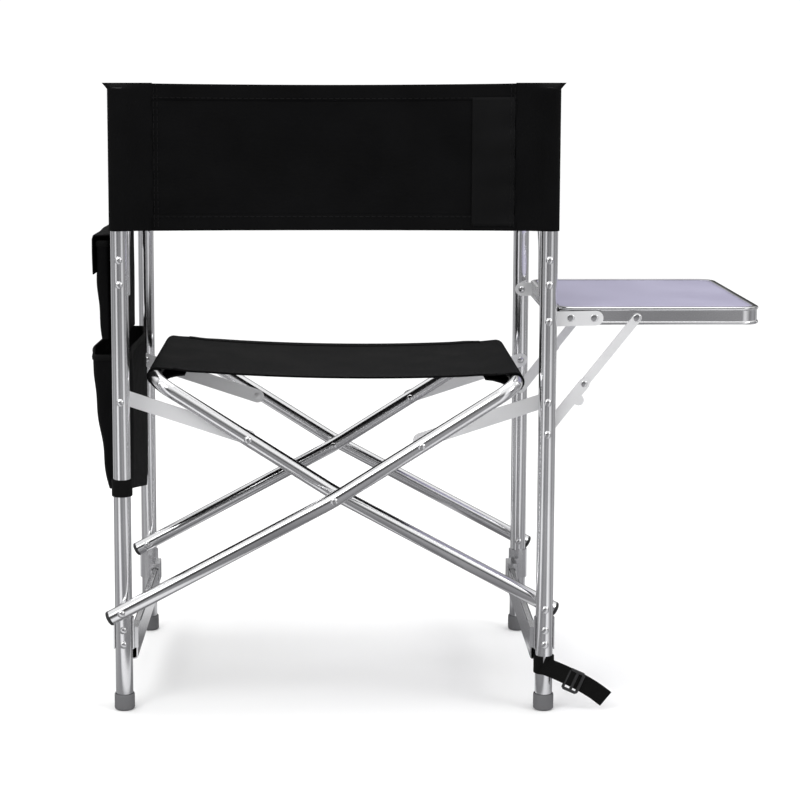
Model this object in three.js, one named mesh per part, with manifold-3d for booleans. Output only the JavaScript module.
// A folding director chair: two tubular side frames joined by a double scissor of bent tubes, with a
// sling seat and back, padded arms, a drop-leaf side table, an organizer and a carry strap.
//
// Units are millimetres. X runs across the chair, Y from the back (-) to the front (+) and Z up.
// The chair is drawn about its own middle plane. The group that is exported is then moved, so that
// the origin lies on the floor under the middle of the whole chair, table and organizer included.

import * as THREE from "three";
import { mergeVertices } from "three/addons/utils/BufferGeometryUtils.js";
import Module from "manifold-3d";

const wasm = await Module();
wasm.setup();

// ---------------------------------------------------------------- driving dimensions

const ROUND = 14; // sides of a tube
const SMALL_ROUND = 8; // sides of a rivet, pin or spacer
const FIT = 0.4; // clearance between a piece and what it slides over or rests on

const frameHalfWidth = 286; // middle plane to the legs' centres
const legHalfPitch = 200; // middle of the chair to the front or rear legs' centres
const legRadius = 12;
const tubeWall = 1.5;
const postTop = 842;

const footWall = 1.6;
const footHeight = 22;
const footSole = 6;

const armHeight = 662; // centre of the arm tube
const armFrontBend = 45;
const armRearBend = 45;
const armStubBottom = 565;
const armRivetHeights = [583, 616];
const armPadSide = 7; // how far the pad stands out past the arm tube
const armPadAbove = 2.5;
const armPadBack = -126;
const armPadFront = 138;

const crossRadius = 10;
const crossOuterGap = 1.2; // between an outer cross tube and the leg that it passes
const crossInnerGap = 2.8; // between an inner cross tube and the leg that it passes
const crossBend = 30;
const crossPastPivot = 19;
const lowerPivotHeight = 141;
const crossPivotHeight = 295;
const railHalfSpacing = 244;
const railHeight = 450;

const linkPivotHeight = 425;
const linkReach = 138.16; // cross pivot to the link's rivet, along the cross tube
const linkWidth = 20;
const linkThickness = 2;

const pinRadius = 3;
const spacerRadius = 6;
const headRadius = 5;
const headHeight = 2.6;
const lowHeadHeight = 0.9; // of the table's rivets, which fold past the links

const stretcherThickness = 10;
const stretcherHeight = 40;
const stretcherMiddle = 85; // height of its centre
const stretcherInset = 12; // legs' centres to the stretcher's centre, towards the middle
const saddleBottom = 84;
const saddleTop = 128;
const saddleWall = 1.7;
const saddleReach = 40;
const saddleRivetHeights = [92, 112];

const seatThickness = 6;
const seatSag = 10;
const seatSleeveWall = 2.6;
const seatEndGap = 4; // from the seat's edge to the start of a rail's bend

const backBottom = 654.6;
const backTop = 850;
const backThickness = 3;
const backSleeveWall = 1.6;

const tableGap = 11; // legs' centres to the table's inner edge
const tableWidth = 278;
const tableTop = 550;
const tableHalfDepth = 181.8;
const tableRimHeight = 24;
const tableCorner = 26;
const tableRimWidth = 9;
const tablePanelDrop = 2.2;
const tablePanelThickness = 5;
const tablePivotHeight = 534;
const hingePlateWidth = 20;
const hingePlateReach = 76; // from the hinge
const hingePlateRivets = [32, 64];
const plateThickness = 2;
const plateGap = 0.3; // between plates that slide over each other
const bracePinReach = 121.4; // from the hinge, along the table
const bracePinHeight = 536;
const bracePivotHeight = 381.6;
const upperBraceWidth = 12;
const lowerBraceWidth = 15;

const fabricWall = 2.2;
const pocketOutward = 52; // leg's centre to the lower pocket's outer face
const pocketInward = 8; // leg's centre to its inner face
const pocketBack = -140;
const pocketFront = 160;
const pocketTop = 483;
const pocketBackBottom = 292;
const pocketFrontBottom = 236;
const pouchOutward = 41; // leg's centre to the upper pouch's outer face
const pouchFront = 150;
const pouchBottom = 500;
const pouchTop = 640;
const panelThickness = 2.4;
const panelTop = 645;
const bandBottom = 296;
const bandTop = 319;

const strapWidth = 25;
const strapThickness = 1.8;
const strapHeight = 63; // middle of the loop round the leg
const strapTailReach = 88;
const strapTailDrop = 49;
const buckleReach = 39; // leg's centre to the buckle's
const buckleHeight = 43;
const buckleSize = [24, 32];
const buckleBar = 4;
const buckleThickness = 3;

// ---------------------------------------------------------------- materials

const material = (color, roughness, metalness) =>
  new THREE.MeshStandardMaterial({ color, roughness, metalness });
const aluminium = material(0xc9cacc, 0.28, 1);
const brightSteel = material(0xd8d9dc, 0.2, 1);
const whiteAluminium = material(0xe6e6e6, 0.45, 0.6);
const rubber = material(0x5c5c5e, 0.8, 0);
const blackFabric = material(0x111113, 0.9, 0);
const blackWebbing = material(0x0b0b0c, 0.85, 0);
const blackPlastic = material(0x141415, 0.5, 0);
const tableLaminate = material(0xb8b4c8, 0.5, 0);

// ---------------------------------------------------------------- solids, joins and cuts

function solidOf(geometry) {
  const bare = geometry.index ? geometry.toNonIndexed() : geometry.clone();
  bare.deleteAttribute("normal");
  bare.deleteAttribute("uv");
  const merged = mergeVertices(bare, 1e-3);
  return new wasm.Manifold(
    new wasm.Mesh({
      numProp: 3,
      vertProperties: new Float32Array(merged.attributes.position.array),
      triVerts: new Uint32Array(merged.index.array),
    }),
  );
}

function geometryOf(solid) {
  const mesh = solid.getMesh();
  const indexed = new THREE.BufferGeometry();
  indexed.setAttribute("position", new THREE.BufferAttribute(mesh.vertProperties, 3));
  indexed.setIndex(new THREE.BufferAttribute(mesh.triVerts, 1));
  const geometry = indexed.toNonIndexed();
  geometry.computeVertexNormals();
  return geometry;
}

function join(first, ...others) {
  return geometryOf(others.reduce((sum, g) => sum.add(solidOf(g)), solidOf(first)));
}

function cut(base, ...tools) {
  return geometryOf(tools.reduce((left, g) => left.subtract(solidOf(g)), solidOf(base)));
}

// ---------------------------------------------------------------- basic shapes

// A route of straight runs and arcs. It has stations only at the ends of the straight runs and along
// the arcs, so that an extrusion along it spends its steps where it turns.
class BentPath extends THREE.Curve {
  constructor(corners, radii, stepsPerBend = 4) {
    super();
    this.points = [corners[0]];
    this.tangents = [corners[1].clone().sub(corners[0]).normalize()];
    for (let i = 1; i < corners.length - 1; i++) {
      const before = corners[i].clone().sub(corners[i - 1]).normalize();
      const after = corners[i + 1].clone().sub(corners[i]).normalize();
      const turn = before.angleTo(after);
      const radius = radii[i - 1];
      const back = radius * Math.tan(turn / 2);
      const inward = after.clone().sub(before).normalize();
      const centre = corners[i].clone().addScaledVector(inward, radius / Math.cos(turn / 2));
      const start = corners[i].clone().addScaledVector(before, -back).sub(centre);
      const axis = before.clone().cross(after).normalize();
      const steps = Math.max(2, Math.round((stepsPerBend * turn * 2) / Math.PI));
      for (let s = 0; s <= steps; s++) {
        const angle = (turn * s) / steps;
        this.points.push(start.clone().applyAxisAngle(axis, angle).add(centre));
        this.tangents.push(before.clone().applyAxisAngle(axis, angle));
      }
    }
    this.points.push(corners.at(-1));
    this.tangents.push(this.tangents.at(-1).clone());
  }
  get steps() {
    return this.points.length - 1;
  }
  getPointAt(u, target = new THREE.Vector3()) {
    return target.copy(this.points[Math.round(u * this.steps)]);
  }
  getTangentAt(u, target = new THREE.Vector3()) {
    return target.copy(this.tangents[Math.round(u * this.steps)]);
  }
}

function discShape(radius, x = 0, y = 0) {
  return new THREE.Shape().absarc(x, y, radius, 0, 2 * Math.PI);
}

function holeIn(shape, radius, x = 0, y = 0) {
  shape.holes.push(new THREE.Path().absarc(x, y, radius, 0, 2 * Math.PI));
  return shape;
}

// A straight strip with round ends from a to b, two points [x, y].
function stripShape(a, b, width) {
  const along = Math.atan2(b[1] - a[1], b[0] - a[0]);
  return new THREE.Shape()
    .absarc(b[0], b[1], width / 2, along - Math.PI / 2, along + Math.PI / 2)
    .absarc(a[0], a[1], width / 2, along + Math.PI / 2, along + 1.5 * Math.PI);
}

function roundedRectangle(x0, y0, x1, y1, radius, shape = new THREE.Shape()) {
  return shape
    .absarc(x1 - radius, y0 + radius, radius, -Math.PI / 2, 0)
    .absarc(x1 - radius, y1 - radius, radius, 0, Math.PI / 2)
    .absarc(x0 + radius, y1 - radius, radius, Math.PI / 2, Math.PI)
    .absarc(x0 + radius, y0 + radius, radius, Math.PI, 1.5 * Math.PI);
}

// A shape drawn in X and Z, given its thickness along Y from y0 to y1.
function plateAcross(shape, y0, y1, curveSegments = 6) {
  return new THREE.ExtrudeGeometry(shape, { depth: y1 - y0, bevelEnabled: false, curveSegments })
    .rotateX(Math.PI / 2)
    .translate(0, y1, 0);
}

// A shape drawn in X and Y, given its height from z0 to z1.
function plateUp(shape, z0, z1, curveSegments = 6) {
  return new THREE.ExtrudeGeometry(shape, {
    depth: z1 - z0,
    bevelEnabled: false,
    curveSegments,
  }).translate(0, 0, z0);
}

// A shape drawn in Y and Z, given its thickness along X from x0 to x1.
function plateAlong(shape, x0, x1, curveSegments = 6) {
  return new THREE.ExtrudeGeometry(shape, { depth: x1 - x0, bevelEnabled: false, curveSegments })
    .applyMatrix4(new THREE.Matrix4().set(0, 0, 1, x0, 1, 0, 0, 0, 0, 1, 0, 0, 0, 0, 0, 1));
}

function box(x0, x1, y0, y1, z0, z1) {
  return new THREE.BoxGeometry(x1 - x0, y1 - y0, z1 - z0).translate(
    (x0 + x1) / 2,
    (y0 + y1) / 2,
    (z0 + z1) / 2,
  );
}

function tubeAlong(path, radius) {
  const section = holeIn(discShape(radius), radius - tubeWall);
  return new THREE.ExtrudeGeometry(section, {
    steps: path.steps,
    curveSegments: ROUND / 2,
    bevelEnabled: false,
    extrudePath: path,
  });
}

// A profile of [radius, height] pairs turned about the vertical line through x and y.
function turnedUp(profile, x, y, segments = ROUND) {
  const points = profile.map(([r, h]) => new THREE.Vector2(r, h));
  return new THREE.LatheGeometry(points, segments).rotateX(Math.PI / 2).translate(x, y, 0);
}

// A profile of [radius, y] pairs turned about the line along Y through x and z.
function turnedAcross(profile, x, z, segments = SMALL_ROUND) {
  const points = profile.map(([r, y]) => new THREE.Vector2(r, y));
  return new THREE.LatheGeometry(points, segments).translate(x, 0, z);
}

function ringUp(x, y, inner, outer, z0, z1) {
  return turnedUp([[inner, z0], [outer, z0], [outer, z1], [inner, z1], [inner, z0]], x, y);
}

function rodAcross(radius, y0, y1, x, z) {
  return turnedAcross([[0, y0], [radius, y0], [radius, y1], [0, y1]], x, z);
}

// The domed head of a rivet whose flat side is at y and which stands out towards side, -1 or 1.
// It reaches a little into the piece under it, so that the two join.
function rivetHead(x, z, y, side, into = 1.5, height = headHeight) {
  const profile = [
    [0, y - side * into],
    [headRadius, y - side * into],
    [headRadius, y + side * 0.4 * height],
    [0, y + side * height],
  ];
  return turnedAcross(side > 0 ? profile : profile.reverse(), x, z);
}

// A rivet with a head at each end of its shank, from y0 to y1.
function rivet(x, z, y0, y1, height = headHeight) {
  const profile = [
    [0, y0 - height],
    [headRadius, y0 - 0.4 * height],
    [headRadius, y0],
    [pinRadius, y0],
    [pinRadius, y1],
    [headRadius, y1],
    [headRadius, y1 + 0.4 * height],
    [0, y1 + height],
  ];
  return turnedAcross(profile, x, z);
}

// A hole for a rivet's shank along Y.
function pinHole(x, z, y0, y1) {
  return rodAcross(pinRadius + FIT, y0, y1, x, z);
}

// ---------------------------------------------------------------- derived places

const tableInner = frameHalfWidth + tableGap;
const tableOuter = tableInner + tableWidth;
const bracePinX = frameHalfWidth + bracePinReach;
const crossOutside = legHalfPitch + legRadius + crossOuterGap + crossRadius; // outer cross tube's |y|
const crossInside = legHalfPitch - legRadius - crossInnerGap - crossRadius; // inner cross tube's |y|
const upperAngle = Math.atan2(railHeight - crossPivotHeight, railHalfSpacing);
const lowerAngle = Math.atan2(crossPivotHeight - lowerPivotHeight, frameHalfWidth);
const linkRivetX = linkReach * Math.cos(upperAngle);
const linkRivetHeight = crossPivotHeight + linkReach * Math.sin(upperAngle);
const legFace = legHalfPitch - legRadius; // |y| of a leg's face towards the middle
const outerPlane = legFace - FIT; // face of a plate that lies against a leg
const innerPlane = crossInside - crossRadius - FIT; // face of a plate inside an inner cross tube
const foldedPin = [
  frameHalfWidth + bracePinHeight - tablePivotHeight,
  tablePivotHeight - (bracePinX - frameHalfWidth),
];
const braceLengthDifference = Math.hypot(
  foldedPin[0] - frameHalfWidth,
  foldedPin[1] - bracePivotHeight,
);
const braceSpan = Math.hypot(bracePinX - frameHalfWidth, bracePinHeight - bracePivotHeight);
const upperBraceLength = (braceSpan + braceLengthDifference) / 2;
const lowerBraceLength = (braceSpan - braceLengthDifference) / 2;
const braceAngle = Math.atan2(bracePinHeight - bracePivotHeight, bracePinX - frameHalfWidth);
const braceKnee = [
  frameHalfWidth + lowerBraceLength * Math.cos(braceAngle),
  bracePivotHeight + lowerBraceLength * Math.sin(braceAngle),
];

const chair = new THREE.Group();

function add(parent, name, geometry, surface) {
  const mesh = new THREE.Mesh(geometry, surface);
  mesh.name = name;
  parent.add(mesh);
  return mesh;
}

// ---------------------------------------------------------------- side frames

// The rear leg and back post, one straight tube. Extra holes are heights where a rivet crosses it.
function rearPost(x, holes) {
  const y = -legHalfPitch;
  const tube = ringUp(x, y, legRadius - tubeWall, legRadius, footSole + FIT, postTop);
  const heads = [...armRivetHeights, ...saddleRivetHeights].map((z) =>
    rivetHead(x, z, y - legRadius, -1),
  );
  return cut(
    join(tube, ...heads),
    ...holes.map((z) => pinHole(x, z, y - legRadius - 5, y + legRadius + 5)),
  );
}

// The front leg, arm and rear stub, one bent tube. The stub stands against the front of the post.
function frontLeg(x, holes) {
  const stubY = -legHalfPitch + 2 * legRadius + FIT;
  const path = new BentPath(
    [
      new THREE.Vector3(x, legHalfPitch, footSole + FIT),
      new THREE.Vector3(x, legHalfPitch, armHeight),
      new THREE.Vector3(x, stubY, armHeight),
      new THREE.Vector3(x, stubY, armStubBottom),
    ],
    [armFrontBend, armRearBend],
  );
  const stubHeads = armRivetHeights.map((z) => rivetHead(x, z, stubY + legRadius, 1));
  const legHeads = saddleRivetHeights.map((z) => rivetHead(x, z, legHalfPitch + legRadius, 1));
  return cut(
    join(tubeAlong(path, legRadius), ...stubHeads, ...legHeads),
    ...holes.map((z) =>
      pinHole(x, z, legHalfPitch - legRadius - 5, legHalfPitch + legRadius + 5),
    ),
  );
}

function foot(x, y) {
  const inner = legRadius + FIT;
  const outer = inner + footWall;
  return turnedUp(
    [
      [0, 0],
      [outer - 2, 0],
      [outer, 2],
      [outer, footHeight],
      [inner, footHeight],
      [inner, footSole],
      [0, footSole],
    ],
    x,
    y,
  );
}

// A saddle of pressed plate round a leg, with a pocket for the end of the stretcher.
function saddle(x, y) {
  const side = Math.sign(x);
  const towards = -Math.sign(y);
  const middle = x - side * stretcherInset;
  const half = stretcherThickness / 2;
  const outer = legRadius + FIT + saddleWall;
  const y0 = y + towards * 4;
  const y1 = y + towards * saddleReach;
  const cheek = half + FIT + saddleWall;
  const pocket = half + FIT;
  const jaw = box(
    middle - cheek,
    middle + cheek,
    Math.min(y0, y1),
    Math.max(y0, y1),
    saddleBottom,
    stretcherMiddle + stretcherHeight / 2 + 8,
  );
  const gap = stretcherHeight / 2 + FIT;
  const slot = box(
    middle - pocket,
    middle + pocket,
    Math.min(y + towards * (legRadius + 3), y1 + towards * 5),
    Math.max(y + towards * (legRadius + 3), y1 + towards * 5),
    saddleBottom - 5,
    stretcherMiddle + gap,
  );
  const bore = legRadius + FIT;
  const below = saddleBottom - 5;
  const above = saddleTop + 5;
  const legBore = turnedUp([[0, below], [bore, below], [bore, above], [0, above]], x, y);
  const mouth = [y - towards * 3, y - towards * 30];
  const open = box(x - 30, x + 30, Math.min(...mouth), Math.max(...mouth), below, above);
  return cut(
    join(ringUp(x, y, legRadius - 3, outer, saddleBottom, saddleTop), jaw),
    legBore,
    slot,
    open,
  );
}

function stretcher(x) {
  const middle = x - Math.sign(x) * stretcherInset;
  const half = stretcherThickness / 2;
  const end = legHalfPitch - legRadius - 3 - FIT;
  const section = roundedRectangle(
    middle - half,
    stretcherMiddle - stretcherHeight / 2,
    middle + half,
    stretcherMiddle + stretcherHeight / 2,
    2.5,
  );
  const bore = roundedRectangle(
    middle - half + tubeWall,
    stretcherMiddle - stretcherHeight / 2 + tubeWall,
    middle + half - tubeWall,
    stretcherMiddle + stretcherHeight / 2 - tubeWall,
    1,
    new THREE.Path(),
  );
  section.holes.push(bore);
  return plateAcross(section, -end, end, 3);
}

function armPad(x) {
  const bore = legRadius + FIT;
  const outline = new THREE.Shape();
  const halfWidth = legRadius + armPadSide;
  const halfHeight = legRadius + armPadAbove;
  outline.absellipse(x, armHeight, halfWidth, halfHeight, 0, 2 * Math.PI);
  return plateAcross(holeIn(outline, bore, x, armHeight), armPadBack, armPadFront, 10);
}

function postPlug(x) {
  const bore = legRadius - tubeWall - FIT;
  return turnedUp(
    [
      [0, postTop - 14],
      [bore, postTop - 14],
      [bore, postTop + FIT],
      [legRadius - 0.5, postTop + FIT],
      [legRadius - 0.5, postTop + 2],
      [0, postTop + 3],
    ],
    x,
    -legHalfPitch,
  );
}

for (const side of [-1, 1]) {
  const name = side < 0 ? "left" : "right";
  const x = side * frameHalfWidth;
  const shared = [lowerPivotHeight, linkPivotHeight];
  const holes = side < 0 ? shared : [...shared, tablePivotHeight, bracePivotHeight];
  add(chair, `${name}_rear_post`, rearPost(x, holes), aluminium);
  add(chair, `${name}_front_leg`, frontLeg(x, holes), aluminium);
  add(chair, `${name}_stretcher`, stretcher(x), aluminium);
  add(chair, `${name}_arm_pad`, armPad(x), blackFabric);
  add(chair, `${name}_post_plug`, postPlug(x), blackPlastic);
  for (const [end, y] of [["rear", -legHalfPitch], ["front", legHalfPitch]]) {
    add(chair, `${name}_${end}_foot`, foot(x, y), rubber);
    add(chair, `${name}_${end}_saddle`, saddle(x, y), brightSteel);
  }
}

// ---------------------------------------------------------------- scissor

// One cross tube: up from the rear leg of the left frame, through the cross pivot to the right rail,
// along the rail to the front, and down again to the front leg of the left frame.
// The rivet that holds the link to the front run has its plain head on the side headSide.
function crossTube(headSide) {
  const low = new THREE.Vector2(
    -frameHalfWidth - crossPastPivot * Math.cos(lowerAngle),
    lowerPivotHeight - crossPastPivot * Math.sin(lowerAngle),
  );
  const at = (x, y, z) => new THREE.Vector3(x, y, z);
  const rear = -crossOutside;
  const front = crossInside;
  const path = new BentPath(
    [
      at(low.x, rear, low.y),
      at(0, rear, crossPivotHeight),
      at(railHalfSpacing, rear, railHeight),
      at(railHalfSpacing, front, railHeight),
      at(0, front, crossPivotHeight),
      at(low.x, front, low.y),
    ],
    [400, crossBend, crossBend, 400],
  );
  const through = (x, z) =>
    [rear, front].map((y) => pinHole(x, z, y - crossRadius - 5, y + crossRadius + 5));
  const holed = cut(
    tubeAlong(path, crossRadius),
    ...through(-frameHalfWidth, lowerPivotHeight),
    ...through(0, crossPivotHeight),
  );
  const rearHead = rivetHead(linkRivetX, linkRivetHeight, rear - crossRadius, -1);
  const face = front + headSide * crossRadius;
  const frontHead = rivetHead(linkRivetX, linkRivetHeight, face, headSide);
  const spacer = rodAcross(spacerRadius, rear + crossRadius - 1.5, -outerPlane - FIT, linkRivetX, linkRivetHeight);
  return join(holed, rearHead, frontHead, spacer);
}

// A flat link from a leg to a cross tube on the right of the chair. Its far rivet heads are part of it.
function link(y0, y1, headSide) {
  const leg = [frameHalfWidth, linkPivotHeight];
  const tube = [linkRivetX, linkRivetHeight];
  const strip = plateAcross(stripShape(leg, tube, linkWidth), y0, y1);
  const holed = cut(strip, pinHole(leg[0], leg[1], y0 - 5, y1 + 5));
  return join(holed, rivetHead(tube[0], tube[1], headSide > 0 ? y1 : y0, headSide));
}

const halfTurn = new THREE.Matrix4().makeRotationZ(Math.PI);
add(chair, "cross_tube_a", crossTube(-1), aluminium);
add(chair, "cross_tube_b", crossTube(1).applyMatrix4(halfTurn), aluminium);

const rearLink = link(-outerPlane, -outerPlane + linkThickness, 1);
add(chair, "right_rear_link", rearLink, whiteAluminium);
add(chair, "left_front_link", rearLink.clone().applyMatrix4(halfTurn), whiteAluminium);
add(chair, "right_front_link", link(outerPlane - linkThickness, outerPlane, 1), whiteAluminium);
const leftRearLink = link(innerPlane - linkThickness, innerPlane, -1).applyMatrix4(halfTurn);
add(chair, "left_rear_link", leftRearLink, whiteAluminium);

// Rivets and spacers of the scissor. Each is made once, and its partner is it turned half round.
function spacer(x, z, y0, y1) {
  const inner = pinRadius + FIT;
  return turnedAcross([[inner, y0], [spacerRadius, y0], [spacerRadius, y1], [inner, y1], [inner, y0]], x, z);
}

function addPair(name, partner, geometry, surface) {
  add(chair, name, geometry, surface);
  add(chair, partner, geometry.clone().applyMatrix4(halfTurn), surface);
}

const outerLegFace = legHalfPitch + legRadius;
addPair(
  "left_rear_lower_rivet",
  "right_front_lower_rivet",
  rivet(-frameHalfWidth, lowerPivotHeight, -crossOutside - crossRadius - FIT, -legFace + FIT),
  brightSteel,
);
addPair(
  "right_rear_lower_rivet",
  "left_front_lower_rivet",
  rivet(frameHalfWidth, lowerPivotHeight, -outerLegFace - FIT, -innerPlane),
  brightSteel,
);
addPair(
  "rear_cross_rivet",
  "front_cross_rivet",
  rivet(0, crossPivotHeight, -crossOutside - crossRadius - FIT, -innerPlane),
  brightSteel,
);
addPair(
  "rear_cross_spacer",
  "front_cross_spacer",
  spacer(0, crossPivotHeight, -crossOutside + crossRadius + FIT, -crossInside - crossRadius - FIT),
  aluminium,
);
addPair(
  "right_rear_link_rivet",
  "left_front_link_rivet",
  rivet(frameHalfWidth, linkPivotHeight, -outerLegFace - FIT, -outerPlane + linkThickness + FIT),
  brightSteel,
);
add(
  chair,
  "right_front_link_rivet",
  rivet(frameHalfWidth, linkPivotHeight, outerPlane - linkThickness - FIT, outerLegFace + FIT),
  brightSteel,
);
add(
  chair,
  "left_rear_link_rivet",
  rivet(-frameHalfWidth, linkPivotHeight, -outerLegFace - FIT, -innerPlane + linkThickness + FIT),
  brightSteel,
);
add(
  chair,
  "left_rear_link_spacer",
  spacer(-frameHalfWidth, linkPivotHeight, -legFace + FIT, -innerPlane - FIT),
  aluminium,
);

// ---------------------------------------------------------------- seat and back

// The seat is drawn across the chair and pushed along the rails, each side by half the tubes' offset.
function seat() {
  const sleeve = crossRadius + FIT + seatSleeveWall;
  const top = railHeight + sleeve - seatThickness / 2;
  const run = crossOutside + crossInside - 2 * crossBend - 2 * seatEndGap;
  const outline = new THREE.Shape();
  outline.absarc(railHalfSpacing, railHeight, sleeve, -Math.PI / 2, Math.PI / 2);
  outline.quadraticCurveTo(0, top - 2 * seatSag, -railHalfSpacing, railHeight + sleeve);
  outline.absarc(-railHalfSpacing, railHeight, sleeve, Math.PI / 2, 1.5 * Math.PI);
  const tuck = railHalfSpacing - crossRadius;
  const seam = railHalfSpacing - crossRadius - 16;
  const tuckHeight = railHeight - sleeve + 8;
  const under = railHeight + 1;
  outline.quadraticCurveTo(-tuck, tuckHeight, -seam, under);
  outline.quadraticCurveTo(0, top - 2 * seatSag - seatThickness, seam, under);
  outline.quadraticCurveTo(tuck, tuckHeight, railHalfSpacing, railHeight - sleeve);
  for (const side of [-1, 1]) {
    holeIn(outline, crossRadius + FIT, side * railHalfSpacing, railHeight);
  }
  const shift = (crossOutside - crossInside) / 2 / railHalfSpacing;
  const shear = new THREE.Matrix4().set(1, 0, 0, 0, -shift, 1, 0, 0, 0, 0, 1, 0, 0, 0, 0, 1);
  return plateAcross(outline, -run / 2, run / 2, 8).applyMatrix4(shear);
}

function back() {
  const sleeve = legRadius + FIT + backSleeveWall;
  const y = -legHalfPitch;
  const panelY = y - backThickness / 2;
  const outline = new THREE.Shape();
  outline.absarc(frameHalfWidth, y, sleeve, -Math.PI / 2, Math.PI / 2);
  outline.lineTo(frameHalfWidth - 34, panelY + backThickness);
  outline.lineTo(-frameHalfWidth + 34, panelY + backThickness);
  outline.lineTo(-frameHalfWidth, y + sleeve);
  outline.absarc(-frameHalfWidth, y, sleeve, Math.PI / 2, 1.5 * Math.PI);
  outline.lineTo(-frameHalfWidth + 34, panelY);
  outline.lineTo(frameHalfWidth - 34, panelY);
  outline.lineTo(frameHalfWidth, y - sleeve);
  const blank = plateUp(outline, backBottom, backTop, 8);
  const bore = legRadius + FIT;
  const bores = [-1, 1].map((side) =>
    turnedUp(
      [[0, backBottom - 5], [bore, backBottom - 5], [bore, postTop + 3 + FIT], [0, postTop + 3 + FIT]],
      side * frameHalfWidth,
      y,
    ),
  );
  return cut(blank, ...bores);
}

add(chair, "seat", seat(), blackFabric);
add(chair, "backrest", back(), blackFabric);

// ---------------------------------------------------------------- side table

// Distances out from the table's side, as y values in rising order for one side, -1 or 1.
function ordered(side, from, to) {
  const ends = [side * (tableHalfDepth + from), side * (tableHalfDepth + to)];
  return ends.sort((a, b) => a - b);
}

const plateNear = plateGap; // the hinge plates and upper braces lie next to the rim
const plateFar = plateNear + plateThickness;
const lowerNear = plateFar + plateGap; // the lower braces lie outside them
const lowerFar = lowerNear + plateThickness;
const braceHead = plateFar + plateGap;
const legSide = outerLegFace + FIT - tableHalfDepth; // the legs' far faces
const collarFar = legFace - FIT - tableHalfDepth;

// A ring of channel round the table: a lip at the top, a hollow band and a lip at the bottom.
function tableRim() {
  const outline = (inset, radius, path) =>
    roundedRectangle(
      tableInner + inset,
      -tableHalfDepth + inset,
      tableOuter - inset,
      tableHalfDepth - inset,
      radius,
      path,
    );
  const bottom = tableTop - tableRimHeight;
  const opening = (inset) => outline(inset, Math.max(4, tableCorner - inset), new THREE.Path());
  const ring = (inset, z0, z1) => {
    const shape = outline(inset, tableCorner - inset, new THREE.Shape());
    shape.holes.push(opening(tableRimWidth));
    return plateUp(shape, z0, z1, 4);
  };
  const lip = 4;
  const band = 1.6;
  const body = join(
    ring(0, tableTop - lip, tableTop),
    ring(band, bottom + lip - 1, tableTop - lip + 1),
    ring(0, bottom, bottom + lip),
  );
  const rebate = plateUp(
    outline(tableRimWidth - 3, tableCorner - 6, new THREE.Shape()),
    tableTop - tablePanelDrop - tablePanelThickness - FIT,
    tableTop + 5,
  );
  const pin = (side) => rivet(bracePinX, bracePinHeight, ...ordered(side, -3, braceHead), lowHeadHeight);
  return join(cut(body, rebate), pin(-1), pin(1));
}

function tablePanel() {
  const inset = tableRimWidth - 3 + FIT;
  const outline = roundedRectangle(
    tableInner + inset,
    -tableHalfDepth + inset,
    tableOuter - inset,
    tableHalfDepth - inset,
    tableCorner - 6,
  );
  const top = tableTop - tablePanelDrop;
  return plateUp(outline, top - tablePanelThickness, top);
}

// The plate that carries one end of the table, with two rivets into the rim.
function hingePlate(y0, y1, headSide) {
  const strip = stripShape(
    [frameHalfWidth, tablePivotHeight],
    [frameHalfWidth + hingePlateReach - hingePlateWidth / 2, tablePivotHeight + 1.5],
    hingePlateWidth,
  );
  const plate = cut(
    plateAcross(strip, y0, y1),
    pinHole(frameHalfWidth, tablePivotHeight, y0 - 5, y1 + 5),
  );
  const face = headSide > 0 ? y1 : y0;
  return join(
    plate,
    ...hingePlateRivets.map((reach) =>
      rivetHead(frameHalfWidth + reach, tablePivotHeight + 1.5, face, headSide, 1, lowHeadHeight),
    ),
  );
}

function upperBrace(y0, y1) {
  const pin = [bracePinX, bracePinHeight];
  const strip = plateAcross(stripShape(pin, braceKnee, upperBraceWidth), y0, y1);
  return cut(strip, pinHole(pin[0], pin[1], y0 - 5, y1 + 5));
}

// The lower brace has a thumb lobe just under its knee, which unlocks the straight brace.
function lowerBrace(y0, y1) {
  const pivot = [frameHalfWidth, bracePivotHeight];
  const lobe = [
    braceKnee[0] - 22 * Math.cos(braceAngle) + 8 * Math.sin(braceAngle),
    braceKnee[1] - 22 * Math.sin(braceAngle) - 8 * Math.cos(braceAngle),
  ];
  const strip = plateAcross(stripShape(pivot, braceKnee, lowerBraceWidth), y0, y1);
  const thumb = plateAcross(discShape(7.5, lobe[0], lobe[1]), y0, y1, 8);
  return cut(join(strip, thumb), pinHole(pivot[0], pivot[1], y0 - 5, y1 + 5));
}

add(chair, "table_rim", tableRim(), aluminium);
add(chair, "table_panel", tablePanel(), tableLaminate);

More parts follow.
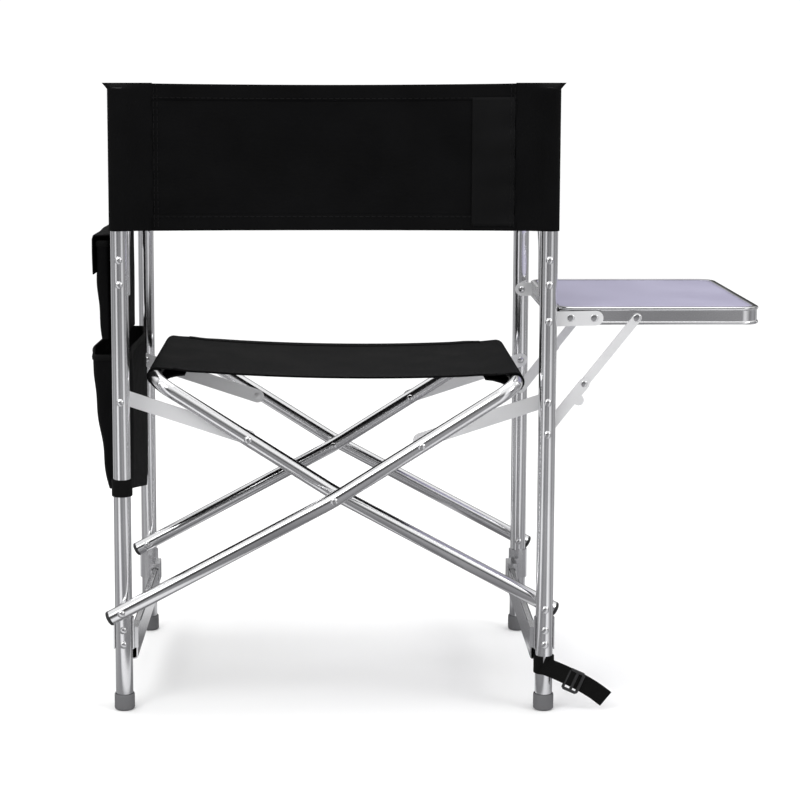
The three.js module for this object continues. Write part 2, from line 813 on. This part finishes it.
// At each end of the table, outwards from the rim: the hinge plate and the upper brace, then the
// lower brace, then the leg. The lower brace's pivot ends inside the brace, because the folded upper
// brace lies over it.
for (const [end, side] of [["rear", -1], ["front", 1]]) {
  const plate = ordered(side, plateNear, plateFar);
  add(chair, `table_${end}_hinge_plate`, hingePlate(...plate, side), whiteAluminium);
  add(chair, `${end}_upper_brace`, upperBrace(...plate), whiteAluminium);
  add(chair, `${end}_lower_brace`, lowerBrace(...ordered(side, lowerNear, lowerFar)), whiteAluminium);
  const hinge = rivet(frameHalfWidth, tablePivotHeight, ...ordered(side, 0, legSide));
  const collar = spacer(frameHalfWidth, tablePivotHeight, ...ordered(side, lowerNear, collarFar));
  add(chair, `table_${end}_hinge_rivet`, hinge, brightSteel);
  add(chair, `table_${end}_hinge_collar`, collar, aluminium);
  const pivot = ordered(side, lowerNear + 0.1, legSide);
  const shank = rodAcross(pinRadius, ...pivot, frameHalfWidth, bracePivotHeight);
  const outerFace = side > 0 ? pivot[1] : pivot[0];
  const head = rivetHead(frameHalfWidth, bracePivotHeight, outerFace, side, 0);
  add(chair, `${end}_brace_rivet`, join(shank, head), brightSteel);
}

// ---------------------------------------------------------------- organizer

// A pocket with an open top: a side view in Y and Z, given a width along X, and hollowed.
function pocket(x0, x1, corners) {
  const wall = fabricWall;
  const [[backY, backBottomZ, top], [frontY, frontBottomZ]] = corners;
  const outer = new THREE.Shape()
    .moveTo(backY, backBottomZ)
    .lineTo(frontY, frontBottomZ)
    .lineTo(frontY, top)
    .lineTo(backY, top);
  const inner = new THREE.Shape()
    .moveTo(backY + wall, backBottomZ + wall)
    .lineTo(frontY - wall, frontBottomZ + wall)
    .lineTo(frontY - wall, top + 5)
    .lineTo(backY + wall, top + 5);
  return cut(plateAlong(outer, x0, x1), plateAlong(inner, x0 + wall, x1 - wall));
}

// The band that ties the pocket's back edge to the rear leg.
function organizerBand() {
  const inner = legRadius + FIT;
  const outer = inner + strapThickness;
  const loop = ringUp(-frameHalfWidth, -legHalfPitch, inner, outer, bandBottom, bandTop);
  const face = -frameHalfWidth - outer;
  const tail = box(
    face,
    face + strapThickness - 0.4,
    -legHalfPitch,
    pocketBack - FIT,
    bandBottom,
    bandTop,
  );
  return cut(join(loop, tail), postCore(-frameHalfWidth, inner, bandBottom - 5, bandTop + 5));
}

function postCore(x, radius, z0, z1) {
  return turnedUp([[0, z0], [radius, z0], [radius, z1], [0, z1]], x, -legHalfPitch);
}

const pocketOuter = -frameHalfWidth - pocketOutward;
const pocketInner = -frameHalfWidth + pocketInward;
const pouchOuter = -frameHalfWidth - pouchOutward;
const panelOuter = -frameHalfWidth - legRadius - 1.8 - panelThickness;
add(
  chair,
  "organizer_lower_pocket",
  pocket(pocketOuter, pocketInner, [
    [pocketBack, pocketBackBottom, pocketTop],
    [pocketFront, pocketFrontBottom],
  ]),
  blackFabric,
);
add(
  chair,
  "organizer_upper_pouch",
  pocket(pouchOuter, panelOuter - FIT, [[pocketBack, pouchBottom, pouchTop], [pouchFront, pouchBottom]]),
  blackFabric,
);
add(
  chair,
  "organizer_panel",
  box(panelOuter, panelOuter + panelThickness, pocketBack, pocketFront, pocketTop + FIT, panelTop),
  blackFabric,
);
add(chair, "organizer_band", organizerBand(), blackWebbing);

// ---------------------------------------------------------------- carry strap

// A webbing loop round the right rear leg. Its tail hangs down to the right with its face to the rear.
function legStrap() {
  const inner = legRadius + FIT;
  const outer = inner + strapThickness;
  const bottom = strapHeight - strapWidth / 2;
  const top = strapHeight + strapWidth / 2;
  const loop = ringUp(frameHalfWidth, -legHalfPitch, inner, outer, bottom, top);
  const far = frameHalfWidth + strapTailReach;
  const tail = new THREE.Shape()
    .moveTo(frameHalfWidth, bottom)
    .lineTo(far, bottom - strapTailDrop)
    .lineTo(far, top - strapTailDrop)
    .lineTo(frameHalfWidth, top);
  const face = -legHalfPitch - outer;
  const flat = plateAcross(tail, face, face + strapThickness - 0.4);
  return cut(join(loop, flat), postCore(frameHalfWidth, inner, bottom - 5, top + 5));
}

function strapBuckle() {
  const x = frameHalfWidth + buckleReach;
  const z = buckleHeight;
  const [width, height] = buckleSize;
  const frame = roundedRectangle(x - width / 2, z - height / 2, x + width / 2, z + height / 2, 3);
  const window = roundedRectangle(
    x - width / 2 + buckleBar,
    z - height / 2 + buckleBar,
    x + width / 2 - buckleBar,
    z + height / 2 - buckleBar,
    1,
    new THREE.Path(),
  );
  frame.holes.push(window);
  const face = -legHalfPitch - legRadius - FIT - strapThickness - FIT;
  return plateAcross(frame, face - buckleThickness, face, 2);
}

add(chair, "leg_strap", legStrap(), blackWebbing);
add(chair, "strap_buckle", strapBuckle(), blackPlastic);

// ---------------------------------------------------------------- the part's origin

chair.updateMatrixWorld(true);
const extent = new THREE.Box3().setFromObject(chair, true);
const middle = extent.getCenter(new THREE.Vector3());
chair.position.set(-middle.x, -middle.y, -extent.min.z);

export default chair;
